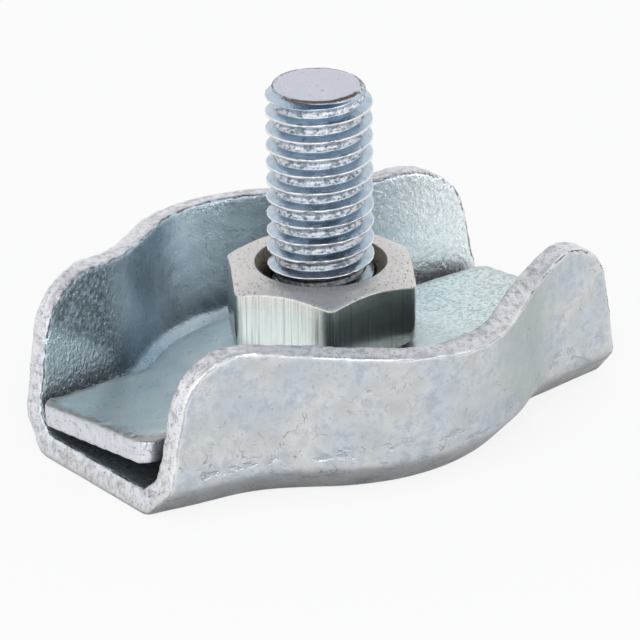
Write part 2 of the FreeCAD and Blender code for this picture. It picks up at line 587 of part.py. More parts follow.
def makeBolt():
    """The bolt: a low hexagon head in the pocket and a shank with a chamfered end and a thread."""
    body = newBody("clamp_bolt")
    headPlan = newSketch(body, "XY_Plane", "HeadPlan")
    hexagon(headPlan, "Sizes.headFlats")
    sweepSide(body, "Pad", "Head", headPlan, length="Sizes.headHeight")
    shankPlan = newSketch(body, "XY_Plane", "ShankPlan")
    circle(shankPlan, "Sizes.threadRadius")
    shank = sweepSide(body, "Pad", "Shank", shankPlan, length="Sizes.boltTop - Sizes.headInset")
    doc.recompute()
    top = size("Sizes.boltTop - Sizes.headInset")
    rim = edgesOf(shank, lambda p: near(p.z, top))
    end = dressUp(body, "Chamfer", "ThreadEnd", shank, rim, Size="Sizes.endChamfer")
    doc.recompute()
    # One groove winds up the shank and runs out at its end, and its turns don't quite meet
    outerHalf = "(Sizes.threadPitch - Sizes.threadCrest / 2) / 2"
    outside = "Sizes.threadRadius + Sizes.threadCrest / 4 / tan(Sizes.threadFlank)"
    depth = "(Sizes.threadPitch - Sizes.threadCrest - Sizes.threadRoot) / 2 / tan(Sizes.threadFlank)"
    bottom = "Sizes.threadRadius - " + depth
    section = newSketch(body, "XZ_Plane", "ThreadSection")
    polygon(section, [(outside, "Sizes.threadStart - " + outerHalf),
                      (bottom, "Sizes.threadStart - Sizes.threadRoot / 2"),
                      (bottom, "Sizes.threadStart + Sizes.threadRoot / 2"),
                      (outside, "Sizes.threadStart + " + outerHalf)])
    before = end.Shape.Volume
    thread = body.newObject("PartDesign::SubtractiveHelix", "Thread")
    thread.Profile = (section, [""])
    thread.ReferenceAxis = (section, ["V_Axis"])
    thread.Mode = "pitch-height-angle"
    thread.setExpression("Pitch", "Sizes.threadPitch")
    thread.setExpression("Height", "Sizes.boltTop - Sizes.threadStart + Sizes.threadPitch")
    removes(thread, before)
    section.Visibility = False
    body.Tip = thread
    body.setExpression("Placement.Base.z", "Sizes.headInset")
    return body


pieces = [makeBody(), makePlate(), makeNut(), makeBolt()]
doc.recompute()

for item in doc.Objects:
    if "Invalid" in item.State or "Error" in item.State:
        raise RuntimeError("%s did not recompute: %s" % (item.Name, item.State))
for piece in pieces:
    if piece.Shape.isNull() or not piece.Shape.isValid() or len(piece.Shape.Solids) != 1:
        raise RuntimeError("%s is not one valid solid" % piece.Label)

os.makedirs("parts", exist_ok=True)
for piece in pieces:
    piece.Shape.exportStep(os.path.join("parts", piece.Label + ".step"))
    box = piece.Shape.BoundBox
    print("%-16s volume %8.2f  x %.2f..%.2f  y %.2f..%.2f  z %.2f..%.2f" % (
        piece.Label, piece.Shape.Volume, box.XMin, box.XMax, box.YMin, box.YMax, box.ZMin, box.ZMax))
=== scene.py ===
import math

import bmesh
import bpy
import numpy as np
from mathutils import Matrix, Vector, noise
from mathutils.bvhtree import BVHTree


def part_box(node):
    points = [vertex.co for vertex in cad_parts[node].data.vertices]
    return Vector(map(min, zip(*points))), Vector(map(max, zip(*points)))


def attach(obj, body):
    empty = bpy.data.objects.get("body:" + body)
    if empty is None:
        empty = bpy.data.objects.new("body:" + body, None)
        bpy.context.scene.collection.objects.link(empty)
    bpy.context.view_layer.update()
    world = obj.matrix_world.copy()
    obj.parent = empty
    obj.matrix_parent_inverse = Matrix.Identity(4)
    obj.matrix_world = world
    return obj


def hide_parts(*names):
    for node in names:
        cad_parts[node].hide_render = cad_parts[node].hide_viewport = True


# Looks of a zinc plated wire rope clip: a pressed channel, a loose plate, a nut and a bolt.
# Lengths in the dictionaries are millimetres, angles degrees, and colours linear.
# A pattern is a noise: ripples a millimetre, detail, roughness, and where it sets in and is full.
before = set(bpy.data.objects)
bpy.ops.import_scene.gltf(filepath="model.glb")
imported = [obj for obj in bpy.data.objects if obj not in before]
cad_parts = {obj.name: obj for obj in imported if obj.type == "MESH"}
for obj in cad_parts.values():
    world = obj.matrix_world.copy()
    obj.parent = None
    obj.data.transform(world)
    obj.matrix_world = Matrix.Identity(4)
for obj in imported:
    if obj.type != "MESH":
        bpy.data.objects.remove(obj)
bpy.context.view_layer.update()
mm = 0.001
skinWeld = 0.002        # points of a solid's mesh that are closer than this are one
ringWeld = 0.0004       # the same for turned pieces
seeds = {
    "torn": 1, "pits": 2, "hammer": 3, "wave": 4, "ragged": 5, "lumps": 6,
    "nicks": 11, "threadRough": 12, "endRim": 13, "nutWave": 21, "nutDents": 22,
}


# Small helpers that every piece uses

def addObject(name, mesh):
    piece = bpy.data.objects.new(name, mesh)
    bpy.context.scene.collection.objects.link(piece)
    return piece


def waves(points, scale, kind, octaves=3):
    # layered noise at every point, about -1 to 1; scale is in ripples a millimetre
    shift = Vector([seeds[kind] * step for step in (7.31, -3.17, 5.53)])
    return np.array([noise.fractal(Vector(p) * scale + shift, 1.0, 2.0, octaves) for p in points])


def smoothStep(values, low, high):
    t = np.clip((values - low) / (high - low), 0, 1)
    return t * t * (3 - 2 * t)


def below(value, offsets):
    # each offset taken off the value
    return [value - offset for offset in offsets]


def readVectors(mesh, kind):
    # kind is "co" for the points or "normal"
    flat = np.zeros(len(mesh.vertices) * 3, np.float32)
    mesh.vertices.foreach_get(kind, flat)
    return flat.reshape(-1, 3).astype(float)


def writePoints(mesh, points):
    mesh.vertices.foreach_set("co", points.astype(np.float32).ravel())
    mesh.update()


def writeMask(mesh, name, values):
    layer = mesh.attributes.new(name, "FLOAT", "POINT")
    layer.data.foreach_set("value", np.clip(values, 0, 1).astype(np.float32))


def shadeSmooth(mesh):
    mesh.polygons.foreach_set("use_smooth", [True] * len(mesh.polygons))
    mesh.update()


def meshEdges(mesh):
    flat = np.zeros(len(mesh.edges) * 2, np.int32)
    mesh.edges.foreach_get("vertices", flat)
    return flat.reshape(-1, 2)


def averaged(values, edges, share=1.0):
    # each value, or row of values, moved towards the mean of its neighbours
    here, there = np.concatenate((edges, edges[:, ::-1])).T
    count = np.maximum(np.bincount(here, minlength=len(values)), 1)
    columns = values.reshape(len(values), -1).T
    mean = np.array([np.bincount(here, column[there], len(values)) / count for column in columns])
    return values + share * (mean.T.reshape(values.shape) - values)


def settled(values, free, edges, steps):
    # the free values come to lie between the fixed ones beside them
    for step in range(steps):
        values = np.where(free, averaged(values, edges), values)
    return values


# Pressed sheet: the solid's own skin on an even fine grid, with eased and torn edges

sheetLook = {
    # how strong a noise or mask is where an effect sets in, and where it is full
    "pitsFrom": (0.25, 0.6), "burrFrom": (0.5, 0.9), "bandFrom": (0.04, 0.25),
    "rimLightFrom": (0.5, 0.1), "rimLightMost": 1.1, "rimLightBreak": 0.7,
    "lumpScale": 1.7, "lumpSink": 0.4,
    # scratches, cut faces, edge lines and haze are alike on channel and plate
    "markGather": (0.46, 0.62), "markLowFrom": (1.5, 5.0), "markBreak": (1.1, 2, 0.55, 0.5, 0.6),
    "cutPatch": (1.8, 6, 0.75, 0.42, 0.68), "cutSpeckDepth": 0.5,
    "speckEdge": 0.05, "farSpeckEdge": 0.06,
    "lineAt": 0.36, "lineHalf": (0.064, 0.16), "lineBreak": (0.9, 4, 0.65, 0.40, 0.52),
    "lineInner": (0.55, 0.75), "lineOuter": (0.45, 0.25), "wornShare": 0.85,
    "haze": (0.9, 4, 0.55, 0.3, 0.7), "hazeRough": (-0.05, 0.07),
    "beatenEnd": 0.55, "beatenTop": 0.6,
}


def evenSkin(node, voxel):
    # the node's mesh in millimetres as small even faces, and a search tree of the exact one
    shell = bmesh.new()
    shell.from_mesh(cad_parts[node].data)
    bmesh.ops.transform(shell, matrix=Matrix.Scale(1 / mm, 4), verts=shell.verts)
    bmesh.ops.remove_doubles(shell, verts=shell.verts, dist=skinWeld)
    exact = BVHTree.FromBMesh(shell)
    mesh = bpy.data.meshes.new(node + "Grid")
    shell.to_mesh(mesh)
    shell.free()
    rough = addObject(node + "Grid", mesh)
    remesh = rough.modifiers.new("evenGrid", "REMESH")
    remesh.mode = "VOXEL"
    remesh.voxel_size = voxel
    deps = bpy.context.evaluated_depsgraph_get()
    made = bpy.data.meshes.new_from_object(rough.evaluated_get(deps))
    bpy.data.objects.remove(rough)
    bpy.data.meshes.remove(mesh)
    return made, exact


def nearestOn(exact, points):
    spots = np.zeros_like(points)
    facing = np.zeros_like(points)
    for i, p in enumerate(points):
        spot, normal, index, distance = exact.find_nearest(Vector(p))
        spots[i] = spot
        facing[i] = normal
    return spots, facing


def wornEdge(cut, inner, worn, edges, look):
    # the band on the inner side beside the cut faces that was rolled over
    band = cut
    for step in range(look["bandReach"]):
        band = averaged(band, edges)
    return smoothStep(band, *sheetLook["bandFrom"]) * (1 - cut) * inner * worn


def sheetPiece(name, node, look, regionsOf):
    # regionsOf tells cut faces and inner side, and the cut's slope and worn edges where there are any
    mesh, exact = evenSkin(node, look["voxel"])
    edges = meshEdges(mesh)
    points, facing = nearestOn(exact, readVectors(mesh, "co"))
    cut, inner, slope, worn = regionsOf(points, facing, look)
    onCut = cut > 0.5
    inner = settled(np.where(onCut, 0.5, inner), onCut, edges, look["settling"])
    if slope is not None:
        outside = ~onCut & (inner < 0.5)
        points[:, 2] -= settled(slope * (1 - inner) * cut, outside, edges, look["slopeReach"])
    for step in range(look["easing"]):
        points = averaged(points, edges, 0.5)
    for step in range(look["maskBlur"]):
        cut = averaged(cut, edges)
    writePoints(mesh, points)
    normals = readVectors(mesh, "normal")
    border = 4 * cut * (1 - cut)
    torn = waves(points, look["tornScale"], "torn", 4) * look["tornDepth"]
    pitted = smoothStep(waves(points, look["pitScale"], "pits"), *sheetLook["pitsFrom"])
    hammered = waves(points, look["hammerScale"], "hammer") * look["hammerDepth"]
    wavy = waves(points, look["waveScale"], "wave", 2) * look["waveDepth"]
    ragged = 0.5 + waves(points, look["tornScale"], "ragged", 4)
    burr = border * smoothStep(inner, *sheetLook["burrFrom"]) * ragged
    lift = cut * (torn - pitted * look["pitDepth"]) + (1 - cut) * (inner * hammered + wavy)
    lift += burr * look["burrHeight"]
    if worn is not None:
        band = wornEdge(cut, inner, worn, edges, look)
        lumps = waves(points, sheetLook["lumpScale"], "lumps") - sheetLook["lumpSink"]
        lift += band * lumps * look["bandLump"]
        writeMask(mesh, "wornBand", band)
    low, high = (np.array(corner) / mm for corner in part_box(node))
    points = np.clip(points + normals * lift[:, None], low, high)
    writePoints(mesh, points * mm)
    # painted highlight: a bright line along the outer edge of the cut faces, broken where the edge is
    # ragged, kept as the rimLight mask
    glint = border * smoothStep(inner, *sheetLook["rimLightFrom"])
    glint *= sheetLook["rimLightMost"] - sheetLook["rimLightBreak"] * ragged
    writeMask(mesh, "cutEdge", cut)
    writeMask(mesh, "innerSide", inner)
    writeMask(mesh, "rimLight", glint)
    shadeSmooth(mesh)
    piece = addObject(name, mesh)
    print(name, len(mesh.polygons), "faces")
    return piece


# Round work: rings and threads about the bolt's axis

threadLook = {
    "pitch": 1.0, "flank": 30.0, "boltRadius": 2.95, "grooveRadius": 3.05, "boreRadius": 2.5,
    "crestHeight": 18.3, "crestAngle": 233.7, "crestHalf": 0.055, "crestEase": 0.01,
    "rootHalf": 0.19, "grooveHalf": 0.06,
    # where the rows lie in half a pitch, as shares of it
    "boltRows": (0, 0.03, 0.05, 0.066, 0.085, 0.14, 0.2, 0.26, 0.3, 0.33, 0.36, 0.4, 0.44, 0.47),
    "nutRows": (0, 0.04, 0.06, 0.1, 0.17, 0.24, 0.31, 0.37, 0.39, 0.42, 0.47),
}
threadSlope = threadLook["pitch"] / math.tan(math.radians(threadLook["flank"]))


def hexRadius(angles, flats, corner):
    # outline of a hexagon with corners along X, rounded by corner
    half = flats / 2
    lean = math.radians(30)
    toCorner = np.abs((angles + 30) % 60 - 30)          # degrees from the nearest corner
    straight = half / np.cos(np.radians(30 - toCorner))
    centre = (half - corner) / math.cos(lean)
    tangent = math.degrees(math.atan2(corner / 2, centre + corner * math.cos(lean)))
    off = np.radians(np.minimum(toCorner, tangent))
    rounded = centre * np.cos(off) + np.sqrt(corner ** 2 - (centre * np.sin(off)) ** 2)
    return np.where(toCorner < tangent, rounded, straight)


def threadRows(angles, ends, profile, limitOf):
    # rows that follow the helix; past the end heights a row lies on the end ring
    (low, lowRadius), (high, highRadius) = ends
    shares, radii = profile
    pitch, crestHeight = threadLook["pitch"], threadLook["crestHeight"]
    first = math.floor((low - crestHeight) / pitch) - 3
    turns = math.ceil((high - low) / pitch) + 6
    lead = (angles - threadLook["crestAngle"]) / 360 * pitch
    rows = []
    for row in range(turns * len(shares) + 1):
        turn, step = divmod(row, len(shares))
        height = crestHeight + (first + turn + shares[step]) * pitch + lead
        held = np.clip(height, low, high)
        radius = limitOf(held, np.full(len(angles), radii[step]))
        radius = np.where(height >= high, highRadius, np.where(height <= low, lowRadius, radius))
        rows.append((radius, held))
    return rows


def boltProfile():
    # one pitch from crest middle to crest middle: shares of the pitch, and radii
    crest, ease = threadLook["boltRadius"], threadLook["crestEase"]
    flatHalf, rootHalf = threadLook["crestHalf"], threadLook["rootHalf"]
    rootEdge = crest - threadSlope * (0.5 - rootHalf - flatHalf) - ease
    radii = []
    for share in threadLook["boltRows"]:
        if share <= flatHalf:
            radius = crest - ease * (share / flatHalf) ** 4
        elif share <= 0.5 - rootHalf:
            radius = crest - threadSlope * (share - flatHalf) - ease
        else:
            bend = threadSlope / (2 * rootHalf)
            radius = rootEdge - bend * (rootHalf ** 2 - (0.5 - share) ** 2)
        radii.append(radius)
    return mirroredPitch(threadLook["boltRows"], radii)


def nutProfile():
    groove, bore, half = (threadLook[key] for key in ("grooveRadius", "boreRadius", "grooveHalf"))
    radii = [max(bore, groove - threadSlope * max(0, share - half)) for share in threadLook["nutRows"]]
    return mirroredPitch(threadLook["nutRows"], radii)


def mirroredPitch(shares, radii):
    back = [1 - share for share in reversed(shares[1:])]
    return list(shares) + back, radii + list(reversed(radii[1:]))


def turnedMesh(name, angles, runs, helix, perTurn):
    # runs are lists of (radii, height) rings; the helix closes the gap between their end rings
    columns = len(angles)
    cosines, sines = np.cos(np.radians(angles)), np.sin(np.radians(angles))
    points, faces = [], []

    def place(rows):
        start = len(points)
        for radii, heights in rows:
            ring = [radii * cosines, radii * sines, heights * np.ones(columns)]
            points.extend(np.stack(ring, axis=1).tolist())
        return start

    for rings in runs:
        start = place(rings)
        for row in range(len(rings) - 1):
            for i in range(columns):
                k = (i + 1) % columns
                a = start + row * columns
                faces.append((a + i, a + k, a + columns + k, a + columns + i))
        for row in (0, len(rings) - 1):
            if rings[row][0].max() < 0.1:       # a ring this small is the middle of a disc
                faces.append(tuple(start + row * columns + i for i in range(columns)))
    start = place(helix)
    for row in range(len(helix) - 1):
        a = start + row * columns
        for i in range(columns - 1):
            faces.append((a + i, a + i + 1, a + columns + i + 1, a + columns + i))
        if row + 1 + perTurn < len(helix):      # the last column meets the first one turn on
            b = a + perTurn * columns
            faces.append((a + columns - 1, b, b + columns, a + 2 * columns - 1))
    mesh = bpy.data.meshes.new(name)
    mesh.from_pydata(points, [], faces)
    shell = bmesh.new()
    shell.from_mesh(mesh)
    bmesh.ops.remove_doubles(shell, verts=shell.verts, dist=ringWeld)
    bmesh.ops.dissolve_degenerate(shell, edges=shell.edges, dist=ringWeld)
    bmesh.ops.recalc_face_normals(shell, faces=shell.faces)
    openEdges = sum(1 for edge in shell.edges if len(edge.link_faces) != 2)
    shell.to_mesh(mesh)
    shell.free()
    shadeSmooth(mesh)
    print(name, len(mesh.polygons), "faces, open edges", openEdges)
    return mesh


# Zinc finish: small node helpers, and the ends that all four finishes share, painted shade in corners
# among them

finishLook = {
    "shadeReach": 5.0, "shadeFrom": 0.06, "shadeTo": 0.68, "deepestShade": 0.22, "shadeSamples": 6,
    "specular": 0.2,
}


def addNode(tree, kind, settings=None, inputs=None):
    node = tree.nodes.new(kind)
    for key, value in (settings or {}).items():
        setattr(node, key, value)
    for key, value in (inputs or {}).items():
        if isinstance(value, bpy.types.NodeSocket):
            tree.links.new(value, node.inputs[key])
        else:
            node.inputs[key].default_value = value
    return node


def between(tree, value, low, high, toLow=0.0, toHigh=1.0):
    return addNode(tree, "ShaderNodeMapRange", {"interpolation_type": "SMOOTHSTEP"},
                   {"Value": value, "From Min": low, "From Max": high,
                    "To Min": toLow, "To Max": toHigh}).outputs[0]


def maths(tree, kind, a, b=0.0):
    return addNode(tree, "ShaderNodeMath", {"operation": kind}, {0: a, 1: b}).outputs[0]


def plus(tree, a, b):
    return maths(tree, "ADD", a, b)


def minus(tree, a, b):
    return maths(tree, "SUBTRACT", a, b)


def times(tree, *factors):
    product = factors[0]
    for factor in factors[1:]:
        product = maths(tree, "MULTIPLY", product, factor)
    return product


def vectorMaths(tree, kind, a, b):
    return addNode(tree, "ShaderNodeVectorMath", {"operation": kind}, {0: a, 1: b}).outputs


def scaled(tree, vector, share):
    return addNode(tree, "ShaderNodeVectorMath", {"operation": "SCALE"},
                   {0: vector, "Scale": share}).outputs[0]


def axesOf(tree, vector):
    return addNode(tree, "ShaderNodeSeparateXYZ", None, {0: vector}).outputs


def facingOf(tree):
    return axesOf(tree, addNode(tree, "ShaderNodeTexCoord").outputs["Normal"])


def noiseOf(tree, place, scale, detail=3, rough=0.55, stretch=None):
    if stretch:
        place = vectorMaths(tree, "MULTIPLY", place, stretch)[0]
    return addNode(tree, "ShaderNodeTexNoise", None,
                   {"Vector": place, "Scale": scale, "Detail": detail, "Roughness": rough}).outputs[0]


def patches(tree, place, pattern, stretch=None, toLow=0.0, toHigh=1.0):
    scale, detail, rough, low, high = pattern
    ripples = noiseOf(tree, place, scale, detail, rough, stretch)
    return between(tree, ripples, low, high, toLow, toHigh)


def blendTone(tree, share, a, b):
    # colours or colour sockets
    mix = addNode(tree, "ShaderNodeMix", {"data_type": "RGBA"}, {"Factor": share})
    for slot, tone in ((6, a), (7, b)):
        if isinstance(tone, bpy.types.NodeSocket):
            tree.links.new(tone, mix.inputs[slot])
        else:
            mix.inputs[slot].default_value = (*tone, 1)
    return mix.outputs[2]


def blendValue(tree, share, a, b):
    mix = addNode(tree, "ShaderNodeMix", {"data_type": "FLOAT"}, {"Factor": share, 2: a, 3: b})
    return mix.outputs[0]


def maskOf(tree, name):
    return addNode(tree, "ShaderNodeAttribute", {"attribute_name": name}).outputs["Fac"]


def startFinish(name):
    # the new material, its node tree, and the place on the object in millimetres
    material = bpy.data.materials.new(name)
    material.use_nodes = True
    tree = material.node_tree
    tree.nodes.clear()
    place = scaled(tree, addNode(tree, "ShaderNodeTexCoord").outputs["Object"], 1 / mm)
    return material, tree, place


def fromAxis(tree, place):
    # distance from the bolt's axis, and the place laid flat
    flat = vectorMaths(tree, "MULTIPLY", place, (1, 1, 0))[0]
    return addNode(tree, "ShaderNodeVectorMath", {"operation": "LENGTH"}, {0: flat}).outputs[1], flat


def endFinish(tree, tone, roughness, height, depth, metallic=1.0):
    # painted shade: the base colour is darkened by ambient occlusion in corners, creases and gaps between
    # parts
    look = finishLook
    light = addNode(tree, "ShaderNodeAmbientOcclusion", {"samples": look["shadeSamples"]},
                    {"Distance": look["shadeReach"] * mm}).outputs["AO"]
    light = between(tree, light, look["shadeFrom"], look["shadeTo"], look["deepestShade"], 1.0)
    bump = addNode(tree, "ShaderNodeBump", None,
                   {"Strength": 1.0, "Distance": depth * mm, "Height": height}).outputs[0]
    metal = addNode(tree, "ShaderNodeBsdfPrincipled", None,
                    {"Base Color": scaled(tree, tone, light), "Metallic": metallic,
                     "Roughness": roughness, "Normal": bump, "Specular IOR Level": look["specular"]})
    addNode(tree, "ShaderNodeOutputMaterial", None, {"Surface": metal.outputs[0]})


# Sheet finish: clouded outer faces, hammered inner side, torn cut faces

def hairMarks(tree, place, look):
    # short curved scratches: contour lines of a smooth noise, broken up by two others
    field = minus(tree, noiseOf(tree, place, look["markScale"], 1, 0.5), 0.5)
    lines = between(tree, maths(tree, "ABSOLUTE", field), 0.0, look["markWidth"], 1.0, 0.0)
    low = between(tree, axesOf(tree, place)[2], *sheetLook["markLowFrom"], look["markLow"], 0.0)
    gathered = plus(tree, noiseOf(tree, place, look["markPatch"], 4), low)
    return times(tree, lines, patches(tree, place, sheetLook["markBreak"]),
                 between(tree, gathered, *sheetLook["markGather"]))


def edgeLines(tree, place, cut, inner, look):
    # thin dark line along a cut face's inner edge, broken up, and on the channel's outer edge too
    off = maths(tree, "ABSOLUTE", minus(tree, cut, sheetLook["lineAt"]))
    line = between(tree, off, *sheetLook["lineHalf"], 1.0, 0.0)
    sides = between(tree, inner, *sheetLook["lineInner"])
    if "edgeDarkFrom" in look:
        along = between(tree, axesOf(tree, place)[0], *look["edgeDarkFrom"], look["edgeDarkLeast"], 1.0)
        sides = plus(tree, sides, times(tree, between(tree, inner, *sheetLook["lineOuter"]), along))
    return times(tree, line, patches(tree, place, sheetLook["lineBreak"]), sides)


def beatenShare(tree, place, look):
    # how rough the inner side is: the ends and the channel's upper part were hit by rope and press
    x, y, z = axesOf(tree, place)
    share = between(tree, x, *look["beatenRight"], 0.0, sheetLook["beatenEnd"])
    if "beatenLeft" in look:
        share = maths(tree, "MAXIMUM", share, between(tree, x, *look["beatenLeft"]))
        above = between(tree, z, *look["beatenAbove"], 0.0, sheetLook["beatenTop"])
        share = maths(tree, "MAXIMUM", share, above)
    return share


def lowDents(tree, place, look):
    # dents and folds in the lower part of the outer side
    dents = patches(tree, place, look["dent"], look["dentStretch"])
    return times(tree, dents, between(tree, axesOf(tree, place)[2], *look["dentBelow"]))


def outerFace(tree, place, look, mottle, dents):
    tone = blendTone(tree, mottle, look["outerCool"], look["outerWarm"])
    if dents is not None:
        tone = scaled(tree, tone, patches(tree, place, look["fleck"], None, *look["fleckLight"]))
        tone = blendTone(tree, times(tree, dents, look["dentShare"]), tone, look["smudgeTone"])
    smudge = times(tree, patches(tree, place, look["smudge"]), look["smudgeShare"])
    tone = blendTone(tree, smudge, tone, look["smudgeTone"])
    if "valleyShadeTone" in look:
        # painted shade: outer faces that turn towards +X are darkened
        valleyShade = between(tree, facingOf(tree)[0], *look["valleyShadeFrom"], 0.0, look["valleyShadeShare"])
        tone = blendTone(tree, valleyShade, tone, look["valleyShadeTone"])
    return tone


def innerFace(tree, place, look, mottle, far):
    tone = blendTone(tree, mottle, look["innerCool"], look["innerWarm"])
    # painted light: towards +X the inner side turns to a much paler tone, broken by fine darker patches
    fine = patches(tree, place, look["farFine"], None, 0.0, look["farFineShare"])
    tone = blendTone(tree, far, tone, blendTone(tree, fine, look["innerFarLit"], look["farDull"]))
    if "nearEnd" in look:
        # painted shade and light: the -X ears are painted dark above a slanting border and pale below it
        x, y, z = axesOf(tree, place)
        nearEnd = between(tree, x, *look["nearEnd"])
        slanted = plus(tree, z, times(tree, x, look["shadeSlant"]))
        upperShade = between(tree, slanted, *look["shadeBorder"])
        pale = times(tree, nearEnd, minus(tree, 1.0, upperShade), look["nearLitShare"])
        tone = blendTone(tree, pale, tone, look["nearLitTone"])
        cloud = patches(tree, place, look["shadeCloud"])
        dark = times(tree, nearEnd, upperShade, cloud, look["nearShadeShare"])
        tone = blendTone(tree, dark, tone, look["nearShadeTone"])
        # painted shade: the inner side of the front wall, towards -Y, is darkened
        frontInnerShade = between(tree, y, *look["frontInnerShadeFrom"], 0.0, look["frontInnerShadeShare"])
        tone = blendTone(tree, frontInnerShade, tone, look["frontInnerShadeTone"])
    return tone


def speckShares(tree, place, look, far, cut, cutSpecks):
    near = noiseOf(tree, place, look["speckScale"], 3, 0.55, look.get("speckStretch"))
    near = between(tree, near, look["speckFrom"], look["speckFrom"] + sheetLook["speckEdge"])
    away = noiseOf(tree, place, look["farSpeckScale"])
    away = between(tree, away, look["farSpeckFrom"], look["farSpeckFrom"] + sheetLook["farSpeckEdge"])
    specks = times(tree, blendValue(tree, far, near, away), look["speckShare"])
    return blendValue(tree, cut, specks, times(tree, cutSpecks, look["cutSpeckShare"]))


def sheetZinc(name, look):
    material, tree, place = startFinish(name)
    cut, inner = maskOf(tree, "cutEdge"), maskOf(tree, "innerSide")
    far = between(tree, axesOf(tree, place)[0], *look["farFrom"])
    mottle = patches(tree, place, look["mottle"])
    marks = hairMarks(tree, place, look)
    cutSpecks = patches(tree, place, look["cutSpecks"])
    dents = lowDents(tree, place, look) if "dent" in look else None

    tone = blendTone(tree, inner, outerFace(tree, place, look, mottle, dents),
                     innerFace(tree, place, look, mottle, far))
    tone = blendTone(tree, times(tree, marks, look["markShare"]), tone, look["markTone"])
    cutPatch = patches(tree, place, sheetLook["cutPatch"])
    cutTone = blendTone(tree, cutPatch, look["cutPale"], look["cutDull"])
    tone = blendTone(tree, cut, tone, cutTone)
    tone = blendTone(tree, speckShares(tree, place, look, far, cut, cutSpecks), tone, look["speckTone"])
    if "wornTone" in look:
        worn = times(tree, maskOf(tree, "wornBand"), sheetLook["wornShare"])
        tone = blendTone(tree, worn, tone, look["wornTone"])
    # painted highlight along the outer edge of the cut faces
    tone = blendTone(tree, maskOf(tree, "rimLight"), tone, look["rimHighlightTone"])
    lines = times(tree, edgeLines(tree, place, cut, inner, look), look["lineShare"])
    tone = blendTone(tree, lines, tone, look["lineTone"])

    haze = patches(tree, place, sheetLook["haze"], None, *sheetLook["hazeRough"])
    roughness = blendValue(tree, inner, look["outerRough"], look["innerRough"])
    roughness = plus(tree, blendValue(tree, cut, roughness, look["cutRough"]), haze)

    grain = noiseOf(tree, place, look["grainScale"], 2)
    outer = minus(tree, times(tree, grain, look["outerGrain"]), times(tree, marks, look["markDepth"]))
    if dents is not None:
        outer = minus(tree, outer, times(tree, dents, look["dentDepth"]))
    dimples = noiseOf(tree, place, look["dimpleScale"], 3, 0.6, look.get("dimpleStretch"))
    dimples = times(tree, dimples, beatenShare(tree, place, look), look["innerDimple"])
    height = blendValue(tree, inner, outer, plus(tree, times(tree, grain, look["innerGrain"]), dimples))
    cutHeight = minus(tree, times(tree, grain, look["cutGrain"]),
                      times(tree, cutSpecks, sheetLook["cutSpeckDepth"]))
    height = blendValue(tree, cut, height, cutHeight)
    endFinish(tree, tone, roughness, height, look["bumpDepth"], look["metallic"])
    return material


# Channel body

bodyLook = {
    "voxel": 0.17, "settling": 56, "easing": 4, "maskBlur": 2,
    # what counts as floor, pocket, cut face and wall
    "levelFrom": 0.97, "floorTop": 2.6, "pocketReach": 7.5, "pocketTop": 3.2,
    "cutSideways": 0.12, "wallFrom": 1.6,
    # the rim's cut is square to the leaning wall along the bulges
    "bulgeReach": 11, "bulgeFade": 4, "rimUpward": 0.5, "slopeReach": 30,
    "cutSlope": 0.22, "wideCutSlope": 0.32, "wideFrom": (-2.0, 2.0), "wideTo": (9.0, 11.0),
    "tornScale": 1.1, "tornDepth": 0.03, "pitScale": 2.2, "pitDepth": 0.03, "burrHeight": 0.06,
    "hammerScale": 1.4, "hammerDepth": 0.012, "waveScale": 0.22, "waveDepth": 0.04,
    "mottle": (0.4, 6, 0.62, 0.30, 0.70), "outerCool": (0.53, 0.58, 0.64), "outerWarm": (0.68, 0.69, 0.68),
    "smudge": (0.8, 5, 0.7, 0.48, 0.72), "smudgeShare": 0.6, "smudgeTone": (0.38, 0.42, 0.47),
    "fleck": (1.6, 8, 0.75, 0.34, 0.66), "fleckLight": (0.86, 1.11),
    "dent": (0.9, 4, 0.6, 0.54, 0.66), "dentStretch": (0.7, 0.7, 1.2), "dentBelow": (4.8, 2.6),
    "dentShare": 0.5, "dentDepth": 1.1,
    "valleyShadeFrom": (0.2, 0.55), "valleyShadeShare": 0.7, "valleyShadeTone": (0.42, 0.47, 0.47),
    "innerCool": (0.42, 0.53, 0.62), "innerWarm": (0.51, 0.62, 0.69),
    "innerFarLit": (0.94, 0.99, 1.0), "farFrom": (6.0, 12.0),
    "farFine": (3.6, 3, 0.55, 0.46, 0.62), "farFineShare": 0.4, "farDull": (0.52, 0.66, 0.72),
    "nearEnd": (-8.5, -10.0), "nearLitTone": (0.76, 0.89, 0.97), "nearLitShare": 0.8,
    "shadeSlant": 0.65, "shadeBorder": (-2.9, -1.4), "shadeCloud": (3.2, 4, 0.6, 0.36, 0.60),
    "nearShadeTone": (0.16, 0.20, 0.22), "nearShadeShare": 0.8,
    "frontInnerShadeFrom": (-2.0, -6.0), "frontInnerShadeShare": 0.7, "frontInnerShadeTone": (0.22, 0.25, 0.27),
    "markScale": 1.5, "markWidth": 0.022, "markPatch": 0.4, "markLow": 0.13,
    "markShare": 0.7, "markTone": (0.24, 0.25, 0.28), "markDepth": 0.3,
    "cutPale": (0.84, 0.84, 0.88), "cutDull": (0.49, 0.48, 0.49), "rimHighlightTone": (0.86, 0.86, 0.87),
    "lineShare": 0.85, "lineTone": (0.09, 0.09, 0.10), "edgeDarkFrom": (5.5, 7.5), "edgeDarkLeast": 0.45,
    "speckScale": 3.2, "speckFrom": 0.68, "farSpeckScale": 3.2, "farSpeckFrom": 0.68,
    "cutSpecks": (4.2, 4, 0.7, 0.57, 0.65),
    "speckShare": 0.5, "cutSpeckShare": 0.55, "speckTone": (0.18, 0.18, 0.19),
    "outerRough": 0.34, "innerRough": 0.27, "cutRough": 0.42,
    "grainScale": 9.0, "dimpleScale": 4.2, "dimpleStretch": (1.2, 1.2, 0.8),
    "beatenLeft": (-7.7, -9.2), "beatenRight": (4.5, 7.0), "beatenAbove": (7.2, 9.0),
    "outerGrain": 0.2, "innerGrain": 0.3, "innerDimple": 2.2, "cutGrain": 0.7, "bumpDepth": 0.06,
    "metallic": 0.85,
}


